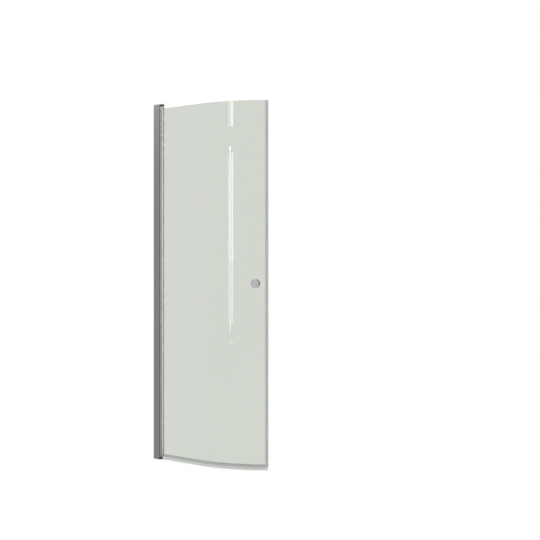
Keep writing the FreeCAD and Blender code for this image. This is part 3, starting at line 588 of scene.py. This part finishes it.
def curved_glass():
    low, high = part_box("curved_glass")
    turn = end_turn("curved_glass", GLASS_HALF)
    pane = section("curved_glass_pane", low.x, -GLASS_HALF, GLASS_HALF, low.z, high.z)
    follow_glass(pane, low.x, turn)
    drill = turned("knob_hole", [(KNOB_HOLE_RADIUS, -OVERRUN), (KNOB_HOLE_RADIUS, OVERRUN)], 48)
    drill.location = knob_centre
    drill.rotation_euler = (math.radians(90), 0, KNOB_TURN)
    cut(pane, settle(drill))
    soften(pane, 0.0005, 2)
    pane.visible_shadow = False
    stand_for(pane, "curved_glass")
    pane.data.materials.append(ground_edge())
    for face in pane.data.polygons:
        face.material_index = int(abs(face.normal.z) > EDGE_SLOPE)


def drip_seal_carrier():
    low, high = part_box("drip_seal_carrier")
    half = -low.y
    turn = end_turn("drip_seal_carrier", half)
    clip = section("drip_seal_clip", low.x, -half, half, low.z, high.z)
    follow_glass(clip, low.x, turn)
    slot_half = half - CARRIER_WALL
    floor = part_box("curved_glass")[0].z
    slot = section("glass_slot", low.x - OVERRUN, -slot_half, slot_half, floor, high.z + OVERRUN)
    follow_glass(slot, low.x - OVERRUN, turn + math.radians(1))
    cut(clip, slot)
    soften(clip, 0.0003, 2)
    stand_for(clip, "drip_seal_carrier")


def drip_seal_lip():
    """The soft lip: a base strip, a skirt that curls in and a thin inner fin."""
    low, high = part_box("drip_seal_lip")
    half = -low.y
    base = high.z - LIP_BASE
    turn = end_turn("drip_seal_lip", half)
    lip = section("drip_seal_soft_lip", low.x, -half, LIP_THICKNESS - half, base, high.z)
    choose(lip)
    bpy.ops.object.mode_set(mode="EDIT")
    widths = (FIN_START - LIP_THICKNESS + half, LIP_THICKNESS, half - FIN_START - LIP_THICKNESS)
    edge = LIP_THICKNESS - half
    for width in widths:
        pick_edges(lip, lambda corner: abs(corner.y - edge) < NEAR)
        bpy.ops.mesh.extrude_edges_move(TRANSFORM_OT_translate={"value": (0, width, 0)})
        edge += width
    hang(lip, -half, LIP_THICKNESS - half, base, low.z, LIP_SWAY)
    hang(lip, FIN_START, FIN_START + LIP_THICKNESS, base, low.z + FIN_SHORTER, FIN_SWAY)
    bpy.ops.object.mode_set(mode="OBJECT")
    follow_glass(lip, low.x, turn)
    soften(lip, 0.0002, 2, 50)
    stand_for(lip, "drip_seal_lip")


def hang(lip, left, right, top, bottom, sway):
    """Extrude a flap down from the strip's lower edge, swaying inwards more and more."""
    steps = 6
    drop = (top - bottom) / steps
    pick_edges(
        lip,
        lambda corner: abs(corner.z - top) < NEAR and left - NEAR < corner.y < right + NEAR,
    )
    for i in range(steps):
        drift = sway * ((i + 1) ** 2 - i**2) / steps**2
        bpy.ops.mesh.extrude_edges_move(TRANSFORM_OT_translate={"value": (0, drift, -drop)})


def edge_seal():
    """The clear strip on the free edge: two legs over the glass, and the magnet's chamber."""
    low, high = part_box("edge_seal_profile")
    turn = end_turn("curved_glass", GLASS_HALF)
    slot_half = GLASS_HALF + EDGE_CLIP_GAP
    half = slot_half + EDGE_CLIP_WALL
    bottom = low.z - OVERRUN
    top = high.z + OVERRUN
    strip = block("edge_seal_strip", (-EDGE_LEGS, -half, low.z), (EDGE_CHAMBER, half, high.z))
    slot = block(
        "slot", (-2 * EDGE_LEGS, -slot_half, bottom), (EDGE_CLIP_GAP, slot_half, top)
    )
    room = block(
        "room",
        (EDGE_CLIP_GAP + EDGE_CLIP_WALL, EDGE_WALL - half, bottom),
        (EDGE_CHAMBER - EDGE_WALL, half - EDGE_WALL, top),
    )
    cut(strip, slot, room)
    soften(strip, 0.0004, 3)
    strip.location = (
        ARC_START + ARC_RADIUS * math.sin(turn),
        ARC_RADIUS * (1 - math.cos(turn)),
        0,
    )
    strip.rotation_euler = (0, 0, turn)
    stand_for(settle(strip), "edge_seal_profile")


# Hinge side.


def hinge_plan(name, low, high, arm_end):
    """The round hinge profile with its pair of glazing arms."""
    plan = rod(name, HINGE_RADIUS, low, high, steps=128)
    return join(plan, block("arms", (0, -ARM_HALF, low), (arm_end, ARM_HALF, high)))


def hinge_profile():
    low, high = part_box("hinge_profile")
    bottom = low.z - OVERRUN
    top = high.z + OVERRUN
    post = hinge_plan("hinge_post", low.z, high.z, high.x)
    cut(
        post,
        rod("bore", BORE_RADIUS, bottom, top, steps=64),
        block("slot", (SLOT_START, -SLOT_HALF, bottom), (high.x + OVERRUN, SLOT_HALF, top)),
    )
    for place in CAP_SCREW_PLACES:
        cut(post, rod("port", CAP_SCREW_PORT, bottom, top, place, 32))
    soften(post, 0.0003, 2)
    stand_for(post, "hinge_profile")


def hinge_top_cap():
    low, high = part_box("hinge_top_cap")
    cap = hinge_plan("hinge_top_end_cap", low.z, high.z, high.x)
    cut(cap, rod("pin_hole", PIN_HOLE_RADIUS, low.z - OVERRUN, high.z + OVERRUN, steps=48))
    cut(cap, *countersinks(CAP_SCREW_PLACES, CAP_SCREW_HEAD, high.z))
    soften(cap, 0.0006, 3)
    stand_for(cap, "hinge_top_cap")


def hinge_bottom_cap():
    low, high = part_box("hinge_bottom_cap")
    plate_low = high.z - BOTTOM_CAP_PLATE
    cap = hinge_plan("hinge_bottom_end_cap", plate_low, high.z, high.x)
    nose_top = plate_low + SINK / 2
    join(cap, block("nose", (NOSE_START, -ARM_HALF, low.z), (high.x, ARM_HALF, nose_top)))
    cut(cap, rod("pin_hole", PIN_HOLE_RADIUS, plate_low - SINK, high.z + OVERRUN, steps=48))
    soften(cap, 0.0004, 3)
    stand_for(cap, "hinge_bottom_cap")


# Wall side.


def jamb_profile():
    low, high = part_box("jamb_profile")
    bottom = low.z - OVERRUN
    top = high.z + OVERRUN
    jamb = block("jamb_extrusion", low, high)
    cut(
        jamb,
        rod("cove", COVE_RADIUS, bottom, top, steps=128),
        block(
            "room",
            (low.x - OVERRUN, low.y + JAMB_WALL, bottom),
            (JAMB_WEB_X, high.y - JAMB_WALL, top),
        ),
        block(
            "seal_groove",
            (JAMB_WEB_X + SEAL_GROOVE_WALL, -SEAL_GROOVE_HALF, bottom),
            (SINK - COVE_RADIUS, SEAL_GROOVE_HALF, top),
        ),
    )
    for place in JAMB_SCREW_PLACES:
        cut(jamb, rod("port", JAMB_SCREW_PORT, bottom, top, place, 32))
    soften(jamb, 0.0005, 4, 50)
    stand_for(jamb, "jamb_profile")


def top_cap():
    low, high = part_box("top_cap")
    plate_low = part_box("upper_pivot_collar")[1].z
    cap = block("top_cap_plate", (low.x, low.y, plate_low), high)
    round_end(cap, high.x, high.x)
    cut(cap, *countersinks(JAMB_SCREW_PLACES, JAMB_SCREW_HEAD, high.z))
    soften(cap, 0.0007, 3)
    join(cap, rod("boss", BOSS_RADIUS, low.z, plate_low + SINK, steps=64))
    stand_for(cap, "top_cap")


def top_cap_screws():
    """Flat heads flush with the cap, each with a cross recess."""
    low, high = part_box("top_cap_screws")
    shank = JAMB_SCREW_SHANK
    neck = high.z - JAMB_SCREW_HEAD + shank
    rings = [(shank / 2, low.z), (shank, low.z + shank), (shank, neck), (JAMB_SCREW_HEAD, high.z)]
    arms = [(SCREW_RECESS_LENGTH, SCREW_RECESS_WIDTH), (SCREW_RECESS_WIDTH, SCREW_RECESS_LENGTH)]
    for i, (x, y) in enumerate(JAMB_SCREW_PLACES, start=1):
        screw = turned(f"top_cap_screw_{i}", rings, 64)
        screw.location = (x, y, 0)
        settle(screw)
        for along, across in arms:
            base = (x - along, y - across, high.z - SCREW_RECESS_DEPTH)
            cut(screw, block("recess", base, (x + along, y + across, high.z + SINK)))
        soften(screw, 0.00012, 2)
        stand_for(screw, "top_cap_screws")


def pivot_collar():
    low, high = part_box("upper_pivot_collar")
    collar = rod("pivot_collar", high.x, low.z, high.z)
    cut(collar, rod("bore", BOSS_RADIUS + LOOSE, low.z - OVERRUN, high.z + OVERRUN, steps=64))
    soften(collar, 0.0005, 3)
    stand_for(collar, "upper_pivot_collar")


def foot_bracket():
    low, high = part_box("foot_bracket")
    plate_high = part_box("jamb_profile")[0].z
    jamb_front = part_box("jamb_profile")[1].x
    foot = block("foot_plate", low, (jamb_front, high.y, plate_high))
    tongue = block("tongue", (FOOT_TONGUE_START, -high.x, low.z), (high.x, high.x, plate_high))
    join(foot, round_end(tongue, high.x, high.x))
    join(foot, rod("boss", high.x, low.z + SINK, high.z, steps=64))
    soften(foot, 0.0004, 3)
    stand_for(foot, "foot_bracket")


def clamp_screw_caps():
    """Domed covers on the jamb's inner face."""
    low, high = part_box("clamp_screw_caps")
    radius = (high.x - low.x) / 2
    rise = high.y - low.y - SCREW_CAP_RIM
    angles = [step * math.pi / 16 for step in range(8)]
    dome = [
        (radius * math.cos(angle), SCREW_CAP_RIM + rise * math.sin(angle)) for angle in angles
    ]
    heights = (low.z + radius, (low.z + high.z) / 2, high.z - radius)
    for i, height in enumerate(heights, start=1):
        cap = turned(f"clamp_screw_cap_{i}", [(radius, 0), *dome], 64)
        cap.location = ((low.x + high.x) / 2, low.y, height)
        cap.rotation_euler = (math.radians(-90), 0, 0)
        settle(cap)
        bpy.ops.object.shade_smooth_by_angle(angle=math.radians(50))
        stand_for(cap, "clamp_screw_caps")


# Knobs.


def knob(name, node, turn):
    """A turned knob: a plain waist, a rounded head and a face dished a little."""
    corner = [
        (
            KNOB_RADIUS - KNOB_ROUND + KNOB_ROUND * math.sin(math.radians(angle)),
            KNOB_ROUND * (1 - math.cos(math.radians(angle))),
        )
        for angle in range(0, 91, 15)
    ]
    back = [(radius, KNOB_BACK + rise) for radius, rise in corner]
    front = [(radius, KNOB_FACE - rise) for radius, rise in reversed(corner)]
    land = KNOB_RADIUS - KNOB_ROUND - KNOB_LAND
    dish = [
        (land * math.sqrt(share), KNOB_FACE - KNOB_DISH * (1 - share))
        for share in (1, 0.8, 0.6, 0.4, 0.2, 0.05)
    ]
    waist = [
        (KNOB_WAIST - KNOB_SEAT_CHAMFER, KNOB_SEAT),
        (KNOB_WAIST, KNOB_SEAT + KNOB_SEAT_CHAMFER),
        (KNOB_WAIST, KNOB_BACK - KNOB_NECK_FLARE),
        (KNOB_WAIST + KNOB_NECK_FLARE, KNOB_BACK),
    ]
    piece = turned(name, [*waist, *back, *front, *dish], 128)
    piece.location = knob_centre
    piece.rotation_euler = (math.radians(90), 0, turn)
    settle(piece)
    bpy.ops.object.shade_smooth_by_angle(angle=math.radians(35))
    stand_for(piece, node)


curved_glass()
drip_seal_carrier()
drip_seal_lip()
edge_seal()
hinge_profile()
hinge_top_cap()
hinge_bottom_cap()
jamb_profile()
top_cap()
top_cap_screws()
pivot_collar()
foot_bracket()
clamp_screw_caps()
knob("outer_turned_knob", "outer_knob", KNOB_TURN)
knob("inner_turned_knob", "inner_knob", KNOB_TURN + math.pi)


# Camera, floor and lights.


def camera():
    bpy.ops.object.camera_add(location=CAMERA_PLACE, rotation=(math.radians(90), 0, CAMERA_TURN))
    view = bpy.context.object
    view.data.lens = CAMERA_LENS
    view.data.shift_y = CAMERA_SHIFT
    bpy.context.scene.camera = view


def white_room():
    """A world that is white wherever it is seen and gives an even fill light."""
    world = bpy.data.worlds.new("studio")
    bpy.context.scene.world = world
    tree = Tree(world)
    background = tree.nodes["Background"]
    tree.feed(background.inputs["Color"], WHITE)
    tree.feed(background.inputs["Strength"], tree.seen() * (1 - SKY_FILL) + SKY_FILL)


def pale_floor():
    """A white floor under the door that keeps a trace of its shadow."""
    bpy.ops.object.select_all(action="DESELECT")
    bpy.ops.mesh.primitive_plane_add(size=60, location=(0, 0, -0.0005))
    floor = added("floor")
    paint = Finish("floor", Base_Color=grey(0.8), Roughness=1, Specular_IOR_Level=0)
    glow = paint.node("Emission", None, {"Strength": 1.05})
    share = paint.seen() * (1 - FLOOR_SHADOW)
    matt = Signal(paint, paint.shader.outputs[0])
    mix = paint.node("MixShader", None, {0: share, 1: matt, 2: glow})
    paint.feed(paint.nodes["Material Output"].inputs["Surface"], mix)
    floor.data.materials.append(paint.material)


def softbox(name, place, target, width, height, radiance):
    """A rectangular lamp that faces a point; its brightness is given per area."""
    bpy.ops.object.light_add(type="AREA", location=place)
    lamp = bpy.context.object
    lamp.name = name
    lamp.data.shape = "RECTANGLE"
    lamp.data.size = width
    lamp.data.size_y = height
    lamp.data.energy = radiance * math.pi * width * height
    aim = Vector(target) - Vector(place)
    lamp.rotation_euler = aim.to_track_quat("-Z", "Y").to_euler()
    lamp.visible_camera = False
    lamp.visible_transmission = False
    return lamp


def hinge_lights():
    """Three strips that stand close around the round hinge profile and light nothing else."""
    lit = bpy.data.collections.new("lit_by_hinge_strips")
    for name in ("hinge_post", "outer_glazing_gasket", "inner_glazing_gasket"):
        lit.objects.link(bpy.data.objects[name])
    for name, turn, width, radiance in HINGE_STRIPS:
        turn = math.radians(turn)
        middle = HINGE_STRIP_HEIGHT / 2
        place = (HINGE_STRIP_REACH * math.cos(turn), HINGE_STRIP_REACH * math.sin(turn), middle)
        strip = softbox(name, place, (0, 0, middle), width, HINGE_STRIP_HEIGHT, radiance)
        strip.light_linking.receiver_collection = lit


def mirrored(turn, height):
    """The spot on the glass at a turn of its arc, and what it mirrors for the camera."""
    across = Vector((math.sin(turn), -math.cos(turn), 0))
    spot = Vector((ARC_START, ARC_RADIUS, height)) + ARC_RADIUS * across
    return spot, spot + STREAK_REACH * (spot - CAMERA_PLACE).normalized().reflect(across)


def streak(name, start_turn, end_turn, low, high, radiance):
    """An upright lamp that shows in the glass between two turns of its arc and two heights."""
    start_turn = math.radians(start_turn)
    end_turn = math.radians(end_turn)
    spot, middle = mirrored((start_turn + end_turn) / 2, (low + high) / 2)
    width = (mirrored(end_turn, middle.z)[1] - mirrored(start_turn, middle.z)[1]).length
    height = mirrored(start_turn, high)[1].z - mirrored(start_turn, low)[1].z
    softbox(name, middle, (spot.x, spot.y, middle.z), width, height, radiance)


camera()
white_room()
pale_floor()
hinge_lights()
softbox("side", (-2.2, -2.4, 3.4), (0, 0, 1.6), 1.6, 1.6, 3.0)
for name, start_turn, end_turn, low, high, radiance in STREAKS:
    streak(name, start_turn, end_turn, low, high, radiance)

bpy.context.scene.view_settings.view_transform = "Standard"
